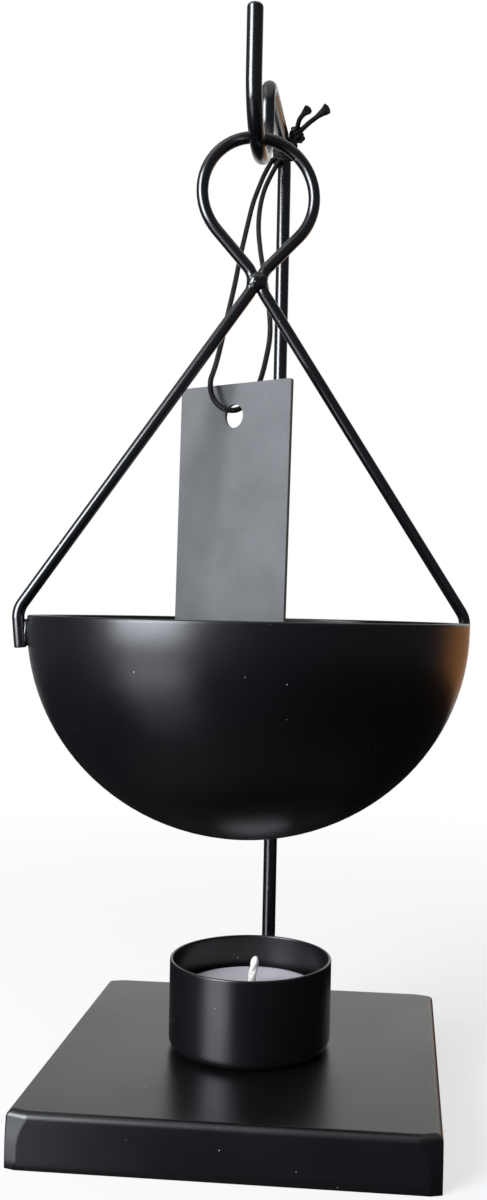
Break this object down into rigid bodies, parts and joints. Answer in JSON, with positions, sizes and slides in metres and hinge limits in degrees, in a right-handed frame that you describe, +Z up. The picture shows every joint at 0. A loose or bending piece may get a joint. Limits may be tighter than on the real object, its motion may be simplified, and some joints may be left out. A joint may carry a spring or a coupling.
{
  "type": "oil burner",
  "caption": "Oil and resin burner: a steel bowl hangs by a wire bail from a hooked rod over a tealight in a holder on a square tray.",
  "frame": {"origin": "centre of the whole burner's bounding box, on the table plane that the tray stands on", "axes": "+Z up; -Y is the front, where the bowl hangs; +Y is the side of the upright; +X is to the right seen from the front"},
  "size_m": [0.112, 0.12, 0.2746],
  "materials": {
    "powder_coat": "satin black powder coat on steel",
    "zinc_steel": "zinc-plated steel",
    "foil": "thin pressed foil",
    "wax": "pale lavender-white wax with a soft sheen",
    "cotton": "braided cotton, waxed",
    "tag_card": "matt grey card, unprinted",
    "elastic_cord": "round braided cover over elastic"
  },
  "bodies": {
    "stand": {"base_tray": "powder_coat", "upright": "powder_coat", "upright_nut": "zinc_steel", "tealight_holder": "powder_coat", "cord_hitch": "elastic_cord", "cord_knot": "elastic_cord", "cord_tail_short": "elastic_cord", "cord_tail_long": "elastic_cord"},
    "hanger": {"bowl": "powder_coat", "bail": "powder_coat", "tag": "tag_card", "tag_cord": "elastic_cord"},
    "tealight": {"tealight_cup": "foil", "tealight_wax": "wax", "wick_sustainer": "zinc_steel", "wick": "cotton"}
  },
  "joints": [
    {"name": "bowl_swing", "type": "hinge", "parent": "stand", "child": "hanger", "pos_m": [0, -0.005, 0.2439], "axis": [0, 1, 0], "range_deg": [-30, 30], "deforming": ["tag_cord"]},
    {"name": "tealight_lift", "type": "slide", "parent": "stand", "child": "tealight", "axis": [0, 0, 1], "range_m": [0, 0.025]}
  ]
}
